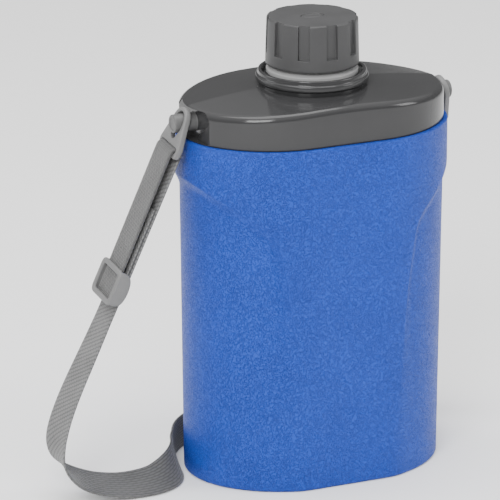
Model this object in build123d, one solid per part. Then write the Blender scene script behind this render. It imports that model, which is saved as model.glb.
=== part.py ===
from build123d import *
import os
from math import acos, asin, cos, radians, sin, tan

os.makedirs("parts", exist_ok=True)

# ---------------------------------------------------------------- driving dimensions, mm
# body
BODY_HALF_LENGTH = 102.0      # outer shell, along X
BODY_HALF_DEPTH = 66.0        # outer shell, along Y
BODY_HEIGHT = 255.0           # top rim of the outer shell
ARC_SPREAD = 20.0             # how much flatter the front corners are than the ends
ARC_SIN, ARC_COS = 0.8, 0.6   # direction in which a corner arc meets an end arc
SHELL_WALL = 2.4
SHELL_FLOOR = 3.2
PLUG_R = 8.9                  # plug of the hole the foam is poured through
PLUG_SUNK = 0.4
BASE_EDGE = 2.5               # rounding of the bottom edge
RIM_EDGE = 1.0                # rounding of the top rim

# arched recess in each end of the shell
RECESS_TOP_DEPTH = 2.6        # at the end, under the arch
RECESS_TOP_FRONT = 1.8        # the same, at the front
RECESS_FOOT_DEPTH = 6.0       # at the end, at the floor
ARCH_FOOT_X = 35.5
ARCH_WAIST = (46.0, 140.0)    # x, z where the arch starts to lean over
ARCH_SHOULDER = (55.0, 193.0)
ARCH_APEX_Z = 226.0

# insulation and liner
FOAM_GAP = 11.0               # foam thickness round the liner
FOAM_UNDER = 14.0             # foam thickness under the liner
LINER_WALL = 2.0
LINER_TOP = 263.0             # where the liner starts to close towards the neck
LINER_CORNER = 9.0

# shoulder cover
COVER_INSET = 2.8             # from the outer shell's face
COVER_WALL = 3.0
COVER_CREST = 287.0           # ridge height at the middle
COVER_END = 278.5             # ridge height at the ends
COVER_FALL = 0.07             # fall of the roof from the ridge, mm per mm
COVER_EDGE = 4.5              # rounding between roof and wall
COVER_SKIRT = 12.0            # how far the cover reaches down inside the shell
SEAL_THICK = 2.0
SKIRT_GAP = 0.3               # between the skirt and the shell
END_FLAT_X = 92.5             # recessed flat round each strap stud
END_FLAT_WIDTH = 54.0
END_FLAT_TOP = 279.0
END_FLAT_CORNER = 9.0

# neck, collar and cap
NECK_R = 25.0
NECK_BORE_R = 21.5
NECK_TOP = 326.0
THREAD_PITCH = 4.0
THREAD_DEPTH = 1.3
THREAD_TURNS = 2.25
THREAD_ROOT = 0.4             # how far a ridge reaches into the wall it stands on
THREAD_START_Z = 309.0
NECK_RIDGE = (2.2, 0.9)       # width of the neck's thread ridge at its foot and at its tip
CAP_RIDGE = (1.6, 0.7)        # the same for the ridge in the cap
THREAD_SLACK = 0.25           # between the neck's ridge and the cap's sleeve
BAND_R = (27.6, 33.0)         # inner and outer radius of the light band round the neck
BAND_Z = (293.0, 298.6)
COLLAR_RIM_R = 38.8
COLLAR_TOP = 295.5
COLLAR_BEAD_R = 40.4
COLLAR_BEAD_Z = 289.6
COLLAR_WALL = 2.2
CHANNEL_FLOOR = 290.0
CAP_TOP = 334.0
CAP_BOTTOM = 300.0
CAP_TOP_R = 32.7
CAP_BOTTOM_R = 33.7
CAP_WALL = 3.4
CAP_ROOF = 2.6
CORE_WALL = 1.6               # roof of the sleeve inside the cap
GASKET_THICK = 1.6
NOTCHES = 10
NOTCH_WIDTH = 8.0
NOTCH_DEPTH = 1.9
NOTCH_LENGTH = 25.0
BADGE_HALF = (8.5, 5.5)
BADGE_SUNK = 0.6
BADGE_FIT = 0.1

# strap hardware
STUD_Z = 266.8
STUD_R = 6.7
STUD_END_X = 109.6
STUD_SHANK = 9.0              # length of the thin shank behind the stud's shoulder
SHANK_R = 4.0
NUT_R = 8.0
NUT_THICK = 4.0
RING_X = 103.2                # middle of the ring plate on the stud's axis
RING_THICK = 4.4
RING_TOP = 11.5               # from the stud's axis to the top of the plate
RING_SHOULDER = (10.2, 2.5)   # where the round top meets the flared sides
RING_EYE_R = 7.0
RING_EYE_RISE = 1.3           # the eye is longer than the stud is thick
RING_EYE_FOOT = (4.6, 7.2)    # radius and drop of the eye's narrow foot
RING_HALF_WIDTH = 16.6
RING_BAR_DROP = 21.6          # from the stud's axis to the middle of the webbing bar
RING_BAR = 4.0
SLOT_GAP = 3.4
LEFT_LEAN, LEFT_SWING = 22.5, 5.0
RIGHT_LEAN, RIGHT_SWING = 12.0, 45.0

# webbing and slider
WEB_WIDTH = 25.0
WEB_THICK = 1.8
STRAND_OFFSET = 2.2           # of the main strand, inside the middle plane of the strands
BAR_TURN_R = 4.0              # middle of the webbing where it turns round a ring's bar
CORE_TURN_R = 2.3             # and round the slider's middle bar
TAIL_LENGTH = 62.0
SEWN_LENGTH = 38.0
LEFT_STRAIGHT = 30.0          # straight run of the strap below the slider's middle
RIGHT_STRAIGHT = 52.0         # and below the right ring's bar
CORNER_SHARE = 0.45           # share of a run that the arc at its end takes up
STRIP_GAP = 0.1               # between two strips that lie end to end or face to face
SLIDER_AT = 104.0             # from the left ring's bar, along the strap
SLIDER_WIDTH = 35.0
SLIDER_LENGTH = 27.0
SLIDER_FACE = 8.2             # height of the frame's outer face over the strands' middle plane
SLIDER_UNDER = -3.4
END_BAR = 4.0
FACE_BAR_THICK = 2.4
MIDDLE_BAR_R = 1.3


# ---------------------------------------------------------------- helpers
def plan_outline(half_length, half_depth):
    """Plan of the body: straight front and back, flatter corner arcs, rounder end arcs."""
    corner_r = half_depth + ARC_COS * ARC_SPREAD
    flat = half_length - half_depth - (1 - ARC_COS) * ARC_SPREAD
    join = Vector(flat + ARC_SIN * corner_r, half_depth - corner_r + ARC_COS * corner_r)
    halfway = acos(ARC_COS) / 2
    mid = Vector(flat + corner_r * sin(halfway), half_depth - corner_r + corner_r * cos(halfway))

    def at(point, sx, sy):
        return (sx * point.X, sy * point.Y)

    lines = [Line((-flat, -half_depth), (flat, -half_depth))]
    lines.append(ThreePointArc((flat, -half_depth), at(mid, 1, -1), at(join, 1, -1)))
    lines.append(ThreePointArc(at(join, 1, -1), (half_length, 0), at(join, 1, 1)))
    lines.append(ThreePointArc(at(join, 1, 1), at(mid, 1, 1), (flat, half_depth)))
    lines.append(Line((flat, half_depth), (-flat, half_depth)))
    lines.append(ThreePointArc((-flat, half_depth), at(mid, -1, 1), at(join, -1, 1)))
    lines.append(ThreePointArc(at(join, -1, 1), (-half_length, 0), at(join, -1, -1)))
    lines.append(ThreePointArc(at(join, -1, -1), at(mid, -1, -1), (-flat, -half_depth)))
    return make_face(lines)


def prism(half_length, half_depth, low, high):
    """A straight prism of the body's plan between two heights."""
    return extrude(Pos(0, 0, low) * plan_outline(half_length, half_depth), high - low)


def waisted(low_half, high_half, low, high):
    """A solid that runs from one plan at its foot to another at its top."""
    foot = Pos(0, 0, low) * plan_outline(*low_half)
    head = Pos(0, 0, high) * plan_outline(*high_half)
    return loft([foot, head], ruled=True)


def turned(points):
    """A solid of revolution about Z from (radius, height) corners."""
    face = make_face(Polyline([(r, 0, z) for r, z in points], close=True))
    return revolve(face, Axis.Z)


def tube(outer, inner, low, high):
    """A plain round tube about Z."""
    return Pos(0, 0, low) * extrude(Circle(outer) - Circle(inner), high - low)


def upright(radius, height):
    """A cylinder that stands on its own origin."""
    return Cylinder(radius, height, align=(Align.CENTER, Align.CENTER, Align.MIN))


def helix_ridge(radius, depth, start_z, turns, foot, tip):
    """One thread ridge; a negative depth points inward."""
    height = turns * THREAD_PITCH
    path = Pos(0, 0, start_z) * Helix(THREAD_PITCH, height, radius)
    section = make_face(Polyline([
        (radius, 0, start_z - foot / 2), (radius + depth, 0, start_z - tip / 2),
        (radius + depth, 0, start_z + tip / 2), (radius, 0, start_z + foot / 2)], close=True))
    return sweep(section, path, is_frenet=True)


def write(name, shape):
    export_step(shape, "parts/" + name + ".step")


# ---------------------------------------------------------------- body
RECESS_FOOT = (BODY_HALF_LENGTH - RECESS_FOOT_DEPTH, BODY_HALF_DEPTH)
RECESS_HEAD = (BODY_HALF_LENGTH - RECESS_TOP_DEPTH, BODY_HALF_DEPTH - RECESS_TOP_FRONT)


def arch_face(side):
    """Front view of the recess: a foot, a leaning waist, a rounded shoulder and the apex."""
    beyond = BODY_HALF_LENGTH + 20
    slope = (ARCH_APEX_Z - ARCH_SHOULDER[1]) / (BODY_HALF_LENGTH - ARCH_SHOULDER[0])
    edge = FilletPolyline(
        (side * (ARCH_FOOT_X - 0.4), -5), (side * ARCH_WAIST[0], ARCH_WAIST[1]),
        (side * ARCH_SHOULDER[0], ARCH_SHOULDER[1]),
        (side * beyond, ARCH_SHOULDER[1] + slope * (beyond - ARCH_SHOULDER[0])),
        radius=[400.0, 30.0])
    rest = Polyline(edge @ 1, (side * beyond, -5), edge @ 0)
    return make_face([edge, rest])


def outer_shell():
    shell = prism(BODY_HALF_LENGTH, BODY_HALF_DEPTH, 0, BODY_HEIGHT)
    shell = fillet(shell.edges().group_by(Axis.Z)[0], BASE_EDGE)
    shell = fillet(shell.edges().group_by(Axis.Z)[-1], RIM_EDGE)
    core = waisted(RECESS_FOOT, RECESS_HEAD, -6, BODY_HEIGHT + 6)
    for side in (-1, 1):
        arch = Plane.XZ * arch_face(side)
        arch = extrude(arch, amount=BODY_HALF_DEPTH + 10, both=True)
        shell -= arch - core
    shell -= inside_shell(0.0, SHELL_FLOOR, BODY_HEIGHT + 6)
    return shell - Pos(0, 0, -1) * upright(PLUG_R + 0.1, SHELL_FLOOR + 2)


def inside_shell(gap, low, high):
    """The space in the shell between two heights, less a gap all round."""
    foot = (RECESS_FOOT[0] - SHELL_WALL - gap, RECESS_FOOT[1] - SHELL_WALL - gap)
    head = (RECESS_HEAD[0] - SHELL_WALL - gap, RECESS_HEAD[1] - SHELL_WALL - gap)
    whole = waisted(foot, head, SHELL_FLOOR - 2, BODY_HEIGHT + 20)
    slab = Pos(0, 0, low) * Box(400, 400, high - low, align=(Align.CENTER, Align.CENTER, Align.MIN))
    return whole & slab


def liner_body(inset):
    """Outside of the liner's tank, or its inside with an inset."""
    tank = inside_shell(FOAM_GAP + inset, SHELL_FLOOR + FOAM_UNDER + inset, LINER_TOP - inset)
    ends = tank.edges().group_by(Axis.Z)
    return fillet(ends[0] + ends[-1], LINER_CORNER - inset)


def inner_liner():
    """Tank with its neck and the thread moulded round it."""
    outside = liner_body(0) + Pos(0, 0, LINER_TOP - 3) * upright(NECK_R, NECK_TOP - LINER_TOP + 3)
    inside = liner_body(LINER_WALL) + Pos(0, 0, LINER_TOP - 8) * upright(
        NECK_BORE_R, NECK_TOP - LINER_TOP + 12)
    depth = THREAD_DEPTH + THREAD_ROOT
    thread = helix_ridge(NECK_R - THREAD_ROOT, depth, THREAD_START_Z, THREAD_TURNS, *NECK_RIDGE)
    return outside - inside + thread


def insulation_foam():
    foam = inside_shell(0.0, SHELL_FLOOR, BODY_HEIGHT - COVER_SKIRT - SEAL_THICK)
    return foam - liner_body(0)


def fill_plug():
    head = Pos(0, 0, PLUG_SUNK) * upright(PLUG_R, SHELL_FLOOR - PLUG_SUNK)
    return chamfer(head.edges().group_by(Axis.Z)[0], 0.5)


# ---------------------------------------------------------------- shoulder cover
def roof_block(drop):
    """Everything under the ridged roof; drop lowers it for the inside."""
    span = BODY_HALF_LENGTH
    crest = ThreePointArc((-span, COVER_END - drop), (0, COVER_CREST - drop), (span, COVER_END - drop))
    profile = make_face([crest, Polyline(crest @ 1, (span, 200), (-span, 200), crest @ 0)])
    face = Plane.XZ * profile
    reach = BODY_HALF_DEPTH + 4
    front = extrude(face, amount=reach, dir=(0, -1, -COVER_FALL))
    back = extrude(face, amount=reach, dir=(0, 1, -COVER_FALL))
    return front + back


# the skirt's plan clears the shell's wall at the height of the seal, where the shell is narrowest
SKIRT_HALF = (RECESS_HEAD[0] - SHELL_WALL - SKIRT_GAP - 0.6, RECESS_HEAD[1] - SHELL_WALL - SKIRT_GAP)


def cover_solid(inset, drop, low):
    half = (BODY_HALF_LENGTH - COVER_INSET - inset, BODY_HALF_DEPTH - COVER_INSET - inset)
    return prism(*half, low, COVER_CREST + 10) & roof_block(drop)


def shoulder_cover():
    low = BODY_HEIGHT - COVER_SKIRT
    outside = cover_solid(0, 0, BODY_HEIGHT)
    top_edges = [e for e in outside.edges() if e.center().Z > BODY_HEIGHT + 12 and abs(e.center().Y) > 1]
    outside = fillet(top_edges, COVER_EDGE)
    outside += prism(*SKIRT_HALF, low, BODY_HEIGHT + 1)
    inside = cover_solid(COVER_WALL, COVER_WALL, BODY_HEIGHT - 1)
    inside += prism(SKIRT_HALF[0] - COVER_WALL, SKIRT_HALF[1] - COVER_WALL, low - 1, BODY_HEIGHT)
    for side in (-1, 1):
        notch = Box(20, END_FLAT_WIDTH, END_FLAT_TOP - BODY_HEIGHT, align=(
            Align.MIN, Align.CENTER, Align.MIN))
        notch = fillet(notch.edges().filter_by(Axis.X).group_by(Axis.Z)[-1], END_FLAT_CORNER)
        place = Pos(side * END_FLAT_X, 0, BODY_HEIGHT) * Rot(0, 0, 0 if side > 0 else 180)
        outside -= place * notch
        keep = Box(40, 3 * END_FLAT_WIDTH, 100, align=(Align.MIN, Align.CENTER, Align.CENTER))
        place = Pos(side * (END_FLAT_X - COVER_WALL), 0, BODY_HEIGHT + 30) * Rot(0, 0, 0 if side > 0 else 180)
        inside -= place * keep
    cover = outside - inside
    cover -= Pos(0, 0, BODY_HEIGHT) * upright(NECK_R + 0.3, 60)
    for side in (-1, 1):
        cover -= Pos(side * END_FLAT_X, 0, STUD_Z) * Rot(0, 90, 0) * Cylinder(SHANK_R + 0.05, 20)
    return cover


def cover_seal():
    """Rubber band squeezed between the cover's skirt and the foam."""
    low = BODY_HEIGHT - COVER_SKIRT - SEAL_THICK
    ring = prism(SKIRT_HALF[0], SKIRT_HALF[1], low, low + SEAL_THICK)
    return ring - prism(SKIRT_HALF[0] - COVER_WALL, SKIRT_HALF[1] - COVER_WALL, low - 1, low + 3)


def collar():
    """Raised drip collar round the neck, with an open channel inside it."""
    profile = [
        (NECK_R + 0.4, CHANNEL_FLOOR - 2.0), (NECK_R + 0.4, CHANNEL_FLOOR),
        (COLLAR_RIM_R - COLLAR_WALL - 1.0, CHANNEL_FLOOR), (COLLAR_RIM_R - COLLAR_WALL, CHANNEL_FLOOR + 1.0),
        (COLLAR_RIM_R - COLLAR_WALL, COLLAR_TOP - 0.6), (COLLAR_RIM_R - COLLAR_WALL + 0.6, COLLAR_TOP),
        (COLLAR_RIM_R - 0.6, COLLAR_TOP), (COLLAR_RIM_R, COLLAR_TOP - 0.6),
        (COLLAR_RIM_R + 0.3, COLLAR_BEAD_Z + 2.2), (COLLAR_BEAD_R, COLLAR_BEAD_Z + 1.2),
        (COLLAR_BEAD_R, COLLAR_BEAD_Z - 1.2), (COLLAR_BEAD_R - 1.2, COLLAR_BEAD_Z - 2.4),
        (COLLAR_BEAD_R - 1.2, COVER_END), (NECK_R + 8, COVER_END), (NECK_R + 8, CHANNEL_FLOOR - 2.0)]
    ring = turned(profile)
    under = roof_block(0)
    return ring - under


def neck_band():
    """Light ring snapped on the neck under the cap, with a sloping top."""
    inner, outer = BAND_R
    low, high = BAND_Z
    return turned([
        (NECK_R + 0.05, CHANNEL_FLOOR), (inner + 2.0, CHANNEL_FLOOR), (inner + 2.0, low),
        (outer - 0.8, low), (outer, low + 0.8), (outer, low + 2.4), (inner + 1.0, high),
        (NECK_R + 0.05, high)])


# ---------------------------------------------------------------- cap
CORE_R = CAP_BOTTOM_R - CAP_WALL
CORE_BORE_R = NECK_R + THREAD_DEPTH + THREAD_SLACK
CORE_ROOF = NECK_TOP + GASKET_THICK
CORE_FIT = 0.02               # the sleeve is pushed into the cap


def cap_shell():
    cap = turned([
        (0, CAP_BOTTOM), (CAP_BOTTOM_R - 0.5, CAP_BOTTOM), (CAP_BOTTOM_R, CAP_BOTTOM + 0.5),
        (CAP_TOP_R, CAP_TOP - 1.6), (CAP_TOP_R - 1.6, CAP_TOP), (0, CAP_TOP)])
    cap -= Pos(0, 0, CAP_BOTTOM - 1) * upright(CORE_R, CAP_TOP - CAP_BOTTOM + 1 - CAP_ROOF)
    for k in range(NOTCHES):
        groove = Pos(CAP_TOP_R + 1.5, 0, CAP_TOP + 1) * Box(
            2 * NOTCH_DEPTH + 3, NOTCH_WIDTH, NOTCH_LENGTH + 1, align=(Align.CENTER, Align.CENTER, Align.MAX))
        cap -= Rot(0, 0, -90 + 360 / NOTCHES * k) * groove
    badge_pocket = Pos(0, 0, CAP_TOP) * extrude(
        Ellipse(BADGE_HALF[0] + BADGE_FIT, BADGE_HALF[1] + BADGE_FIT), -BADGE_SUNK)
    return cap - badge_pocket


def cap_badge():
    """Plain oval plate in the cap's top."""
    return Pos(0, 0, CAP_TOP - BADGE_SUNK) * extrude(Ellipse(*BADGE_HALF), BADGE_SUNK - BADGE_FIT)


def cap_core():
    """Threaded sleeve that screws onto the neck."""
    core = tube(CORE_R - CORE_FIT, CORE_BORE_R, CAP_BOTTOM + 1.5, CORE_ROOF)
    roof = Pos(0, 0, CORE_ROOF) * upright(CORE_R - CORE_FIT, CORE_WALL)
    start = THREAD_START_Z - THREAD_PITCH / 2
    depth = -THREAD_DEPTH - THREAD_ROOT
    thread = helix_ridge(CORE_BORE_R + THREAD_ROOT, depth, start, THREAD_TURNS, *CAP_RIDGE)
    return core + roof + thread


def cap_foam():
    """Insulating disc between the sleeve's roof and the cap's top."""
    low = CORE_ROOF + CORE_WALL
    high = CAP_TOP - CAP_ROOF
    return Pos(0, 0, low) * upright(CORE_R - CORE_FIT, high - low)


def cap_gasket():
    return tube(NECK_R - 0.3, NECK_BORE_R - 0.5, NECK_TOP, CORE_ROOF)


# ---------------------------------------------------------------- studs
def stud(side):
    pin = upright(STUD_R, STUD_END_X - END_FLAT_X)
    pin = chamfer(pin.edges().group_by(Axis.Z)[-1], 0.8)
    shank = Pos(0, 0, -STUD_SHANK) * upright(SHANK_R, STUD_SHANK)
    return Pos(side * END_FLAT_X, 0, STUD_Z) * Rot(0, side * 90, 0) * (pin + shank)


def stud_nut(side):
    """Push-on nut that holds the stud from inside the cover."""
    nut = Cylinder(NUT_R, NUT_THICK) - Cylinder(SHANK_R, 3 * NUT_THICK)
    middle = END_FLAT_X - COVER_WALL - NUT_THICK / 2
    return Pos(side * middle, 0, STUD_Z) * Rot(0, 90, 0) * nut


# ---------------------------------------------------------------- strap frames
def ring_axes(side, lean, swing):
    """Origin on the stud's axis, the bar's direction and the way the ring hangs."""
    lean, swing = radians(lean), radians(swing)
    bar = Vector(side * sin(swing) * sin(lean), -cos(swing), -sin(swing) * cos(lean))
    down = Vector(side * cos(swing) * sin(lean), sin(swing), -cos(swing) * cos(lean))
    return Vector(side * RING_X, 0, STUD_Z), bar, down


LEFT_ORIGIN, LEFT_BAR, LEFT_DOWN = ring_axes(-1, LEFT_LEAN, LEFT_SWING)
RIGHT_ORIGIN, RIGHT_BAR, RIGHT_DOWN = ring_axes(1, RIGHT_LEAN, RIGHT_SWING)


def strap_ring(origin, bar, down):
    """Flat eye: round top on the stud, flared sides, and a slot over the webbing bar."""
    foot = RING_BAR_DROP + RING_BAR / 2
    wide, high = RING_SHOULDER
    crown = ThreePointArc((-wide, high), (0, RING_TOP), (wide, high))
    skirt = FilletPolyline(
        (wide, high), (RING_HALF_WIDTH, 7.5 - foot), (RING_HALF_WIDTH - 1.6, -foot),
        (1.6 - RING_HALF_WIDTH, -foot), (-RING_HALF_WIDTH, 7.5 - foot), (-wide, high),
        radius=[3.0, 2.0, 2.0, 3.0])
    plate = make_face([crown, skirt])
    foot_r, foot_drop = RING_EYE_FOOT
    eye = make_hull([Pos(0, RING_EYE_RISE) * Edge.make_circle(RING_EYE_R),
                     Pos(0, -RING_EYE_RISE) * Edge.make_circle(RING_EYE_R),
                     Pos(0, -foot_drop) * Edge.make_circle(foot_r)])
    slot_y = RING_BAR / 2 + SLOT_GAP / 2 - RING_BAR_DROP
    slot = Pos(0, slot_y) * RectangleRounded(WEB_WIDTH + 1.2, SLOT_GAP, 1.2)
    solid = extrude(plate - eye - slot, RING_THICK / 2, both=True)
    rims = solid.faces().sort_by(Axis.Z)
    solid = chamfer(rims[0].edges() + rims[-1].edges(), 0.7)
    return Plane(origin=origin, x_dir=bar, z_dir=bar.cross(down * -1)) * solid


def width_at(marks, u):
    """Width direction between the (fraction, direction) marks along a path."""
    for (u0, w0), (u1, w1) in zip(marks, marks[1:]):
        if u <= u1:
            t = (u - u0) / (u1 - u0)
            return w0 * (1 - t) + w1 * t
    return marks[-1][1]


def ribbon(path, marks, stations):
    """Webbing along a path: rectangles square to it, joined by ruled faces."""
    sections = []
    for k in range(stations + 1):
        point, along = path @ (k / stations), path % (k / stations)
        wide = width_at(marks, k / stations)
        wide = (wide - along * wide.dot(along)).normalized()
        sections.append(Plane(origin=point, x_dir=wide, z_dir=along) * Rectangle(WEB_WIDTH, WEB_THICK))
    return loft(sections, ruled=True)


def flat_strip(start, end, wide):
    """A straight piece of webbing between two points."""
    along = (end - start).normalized()
    plane = Plane(origin=start, x_dir=wide, z_dir=along)
    return extrude(plane * Rectangle(WEB_WIDTH, WEB_THICK), (end - start).length)


def half_turn(centre, toward, up, wide, radius):
    """Webbing bent half round a bar, from the side at -toward over the side at up."""
    start = centre - toward * radius
    path = ThreePointArc(start, centre + up * radius, centre + toward * radius)
    section = Plane(origin=start, x_dir=wide, z_dir=up) * Rectangle(WEB_WIDTH, WEB_THICK)
    return sweep(section, path)


def corner_radii(points):
    """Tangent arc at each inner point: a share of the shorter run over the tangent of half the turn."""
    radii = []
    for before, here, after in zip(points, points[1:], points[2:]):
        run_in, run_out = here - before, after - here
        half = radians(run_in.get_angle(run_out)) / 2
        radii.append(CORNER_SHARE * min(run_in.length, run_out.length) / tan(half))
    return radii


LEFT_OUT = LEFT_DOWN.cross(LEFT_BAR)          # out of the left ring's plate, away from the jug
LEFT_BAR_AT = LEFT_ORIGIN + LEFT_DOWN * RING_BAR_DROP
RIGHT_OUT = RIGHT_BAR.cross(RIGHT_DOWN)
RIGHT_BAR_AT = RIGHT_ORIGIN + RIGHT_DOWN * RING_BAR_DROP
SLIDER_CENTRE = LEFT_BAR_AT + LEFT_DOWN * SLIDER_AT

# the strap's route, from the left bar down past the slider, along the floor and up behind the right end
FLOOR_Z = 12.9
STRAP_ROUTE = [
    LEFT_BAR_AT - LEFT_OUT * BAR_TURN_R,
    SLIDER_CENTRE + LEFT_DOWN * LEFT_STRAIGHT - LEFT_OUT * STRAND_OFFSET,
    Vector(-199, 3, 56), Vector(-204, -6, 31), Vector(-187, -13, 13.5), Vector(-157, -18, 7.2),
    Vector(-127, -18, 8.2), Vector(-105.5, 0, 12.3), Vector(-99.5, 30, FLOOR_Z),
    Vector(-78, 60, FLOOR_Z), Vector(-38, 78, FLOOR_Z), Vector(20, 82, FLOOR_Z), Vector(66, 85, 18),
    Vector(96, 78, 42), Vector(110, 68, 88), Vector(114, 61, 150),
    RIGHT_BAR_AT + RIGHT_DOWN * RIGHT_STRAIGHT - RIGHT_OUT * BAR_TURN_R,
    RIGHT_BAR_AT - RIGHT_OUT * BAR_TURN_R]
DOWN, FRONT = Vector(0, 0, -1), Vector(0, -1, 0)
STRAP_FACING = [
    LEFT_BAR, LEFT_BAR, Vector(0, -0.96, -0.28), Vector(0, -0.93, -0.36), Vector(0, -0.92, -0.4),
    Vector(0, -0.9, -0.44), Vector(0.25, -0.78, -0.57), Vector(0.35, -0.25, -0.9), DOWN, DOWN, DOWN,
    Vector(0, -0.3, -0.95), Vector(0, -0.75, -0.66), FRONT, Vector(0.05, -0.9, -0.43), RIGHT_BAR,
    RIGHT_BAR, RIGHT_BAR]


def strap_path():
    radii = corner_radii(STRAP_ROUTE)
    print("strap arc radii, mm:", " ".join("%.0f" % r for r in radii))
    return FilletPolyline(*STRAP_ROUTE, radius=radii)


def route_marks():
    """Each route point's place along the strap, as a fraction, with its width direction."""
    runs = [(b - a).length for a, b in zip(STRAP_ROUTE, STRAP_ROUTE[1:])]
    total = sum(runs)
    return [(sum(runs[:k]) / total, facing) for k, facing in enumerate(STRAP_FACING)]


def strap_webbing():
    path = strap_path()
    web = ribbon(path, route_marks(), 96)
    print("strap length %.0f mm, volume over section times length %.3f" % (
        path.length, web.volume / (path.length * WEB_WIDTH * WEB_THICK)))
    return web


def left_return():
    """Round the left bar and back down to the slider's middle bar."""
    bend = half_turn(LEFT_BAR_AT, LEFT_OUT, LEFT_DOWN * -1, LEFT_BAR, BAR_TURN_R)
    outer = SLIDER_CENTRE + LEFT_OUT * (2 * CORE_TURN_R) - LEFT_DOWN * STRIP_GAP
    return bend + flat_strip(LEFT_BAR_AT + LEFT_OUT * BAR_TURN_R, outer, LEFT_BAR)


def strap_tail():
    """Round the slider's middle bar and back up between the strands."""
    bend = half_turn(SLIDER_CENTRE + LEFT_OUT * CORE_TURN_R, LEFT_OUT * -1, LEFT_DOWN, LEFT_BAR, CORE_TURN_R)
    return bend + flat_strip(SLIDER_CENTRE, SLIDER_CENTRE - LEFT_DOWN * TAIL_LENGTH, LEFT_BAR)


def right_return():
    """Round the right bar and back down to where it is sewn to the strap."""
    bend = half_turn(RIGHT_BAR_AT, RIGHT_OUT, RIGHT_DOWN * -1, RIGHT_BAR, BAR_TURN_R)
    start = RIGHT_BAR_AT + RIGHT_OUT * BAR_TURN_R
    end = RIGHT_BAR_AT + RIGHT_DOWN * SEWN_LENGTH - RIGHT_OUT * (BAR_TURN_R - WEB_THICK - STRIP_GAP / 2)
    return bend + flat_strip(start, end, RIGHT_BAR)


def slider_frame():
    """Frame the webbing passes through: two face bars, deep side rails and a low middle bar."""
    half_w, half_l = SLIDER_WIDTH / 2, SLIDER_LENGTH / 2
    rail = (SLIDER_WIDTH - WEB_WIDTH - 1.6) / 2
    block = extrude(RectangleRounded(SLIDER_WIDTH, SLIDER_LENGTH, 5.0), SLIDER_FACE - SLIDER_UNDER)
    block = Pos(0, 0, SLIDER_UNDER) * chamfer(block.faces().sort_by(Axis.Z)[-1].edges(), 0.9)
    window = Box(SLIDER_WIDTH - 2 * rail, SLIDER_LENGTH - 2 * END_BAR, 60)
    under = Pos(0, 0, SLIDER_FACE - FACE_BAR_THICK) * Box(
        SLIDER_WIDTH - 2 * rail, 2 * SLIDER_LENGTH, 40, align=(Align.CENTER, Align.CENTER, Align.MAX))
    frame = block - window - under
    middle = Pos(0, 0, CORE_TURN_R) * Rot(0, 90, 0) * Cylinder(MIDDLE_BAR_R, SLIDER_WIDTH - 2 * rail + 1)
    frame += middle
    return Plane(origin=SLIDER_CENTRE, x_dir=LEFT_BAR, z_dir=LEFT_OUT) * frame


# ---------------------------------------------------------------- export
PARTS = {
    "outer_shell": outer_shell, "fill_plug": fill_plug, "insulation_foam": insulation_foam,
    "inner_liner": inner_liner, "shoulder_cover": shoulder_cover, "cover_seal": cover_seal,
    "neck_collar": collar, "neck_band": neck_band, "cap_gasket": cap_gasket,
    "cap_shell": cap_shell, "cap_badge": cap_badge, "cap_core": cap_core, "cap_foam": cap_foam,
    "strap_webbing": strap_webbing, "strap_return": left_return, "strap_tail": strap_tail,
    "strap_sewn_end": right_return, "slider_buckle": slider_frame}
for name, make in PARTS.items():
    write(name, make())
for side, word in ((-1, "left"), (1, "right")):
    write("strap_stud_" + word, stud(side))
    write("stud_nut_" + word, stud_nut(side))
write("strap_ring_left", strap_ring(LEFT_ORIGIN, LEFT_BAR, LEFT_DOWN))
write("strap_ring_right", strap_ring(RIGHT_ORIGIN, RIGHT_BAR, RIGHT_DOWN))
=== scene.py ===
import bmesh
import bpy
from math import acos, asin, atan2, ceil, cos, pi, radians, sin, sqrt, tan
from mathutils import Matrix, Vector


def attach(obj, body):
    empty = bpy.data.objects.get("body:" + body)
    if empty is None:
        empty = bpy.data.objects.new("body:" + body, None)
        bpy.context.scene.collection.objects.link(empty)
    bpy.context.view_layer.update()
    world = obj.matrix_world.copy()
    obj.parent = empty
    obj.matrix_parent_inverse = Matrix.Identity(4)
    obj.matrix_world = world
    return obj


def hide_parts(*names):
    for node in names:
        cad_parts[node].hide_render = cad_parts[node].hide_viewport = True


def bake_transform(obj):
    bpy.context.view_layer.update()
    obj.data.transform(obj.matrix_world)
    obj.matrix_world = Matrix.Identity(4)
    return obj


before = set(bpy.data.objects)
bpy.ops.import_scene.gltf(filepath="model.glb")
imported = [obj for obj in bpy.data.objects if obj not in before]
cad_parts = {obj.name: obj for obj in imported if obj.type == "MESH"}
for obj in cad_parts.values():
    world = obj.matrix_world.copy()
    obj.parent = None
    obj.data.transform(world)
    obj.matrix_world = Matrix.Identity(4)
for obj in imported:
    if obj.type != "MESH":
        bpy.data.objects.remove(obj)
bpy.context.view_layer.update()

# ---- sizes in mm, the main ones as in the CAD
MM = 0.001

# body plan: flat front and back, wide corner arcs, tighter end arcs
HALF_LENGTH = 102.0
HALF_DEPTH = 66.0
BODY_HEIGHT = 255.0
SPREAD = 20.0                      # the corner arcs' radius less the end arcs'
END_R = HALF_DEPTH - 0.4 * SPREAD
CORNER_R = HALF_DEPTH + 0.6 * SPREAD
FLAT = HALF_LENGTH - HALF_DEPTH - 0.4 * SPREAD
JOIN_ANGLE = acos(0.8)
END_RUN = END_R * JOIN_ANGLE
CORNER_RUN = CORNER_R * (pi / 2 - JOIN_ANGLE)
FULL_RUN = END_RUN + CORNER_RUN + FLAT
BASE_EDGE = 2.5
RIM_EDGE = 1.0
FILL_HOLE_R = 9.0
INNER_WALL = 2.35                  # thickness of the shell's wall in the recess
INNER_FLOOR = 3.15

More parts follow.
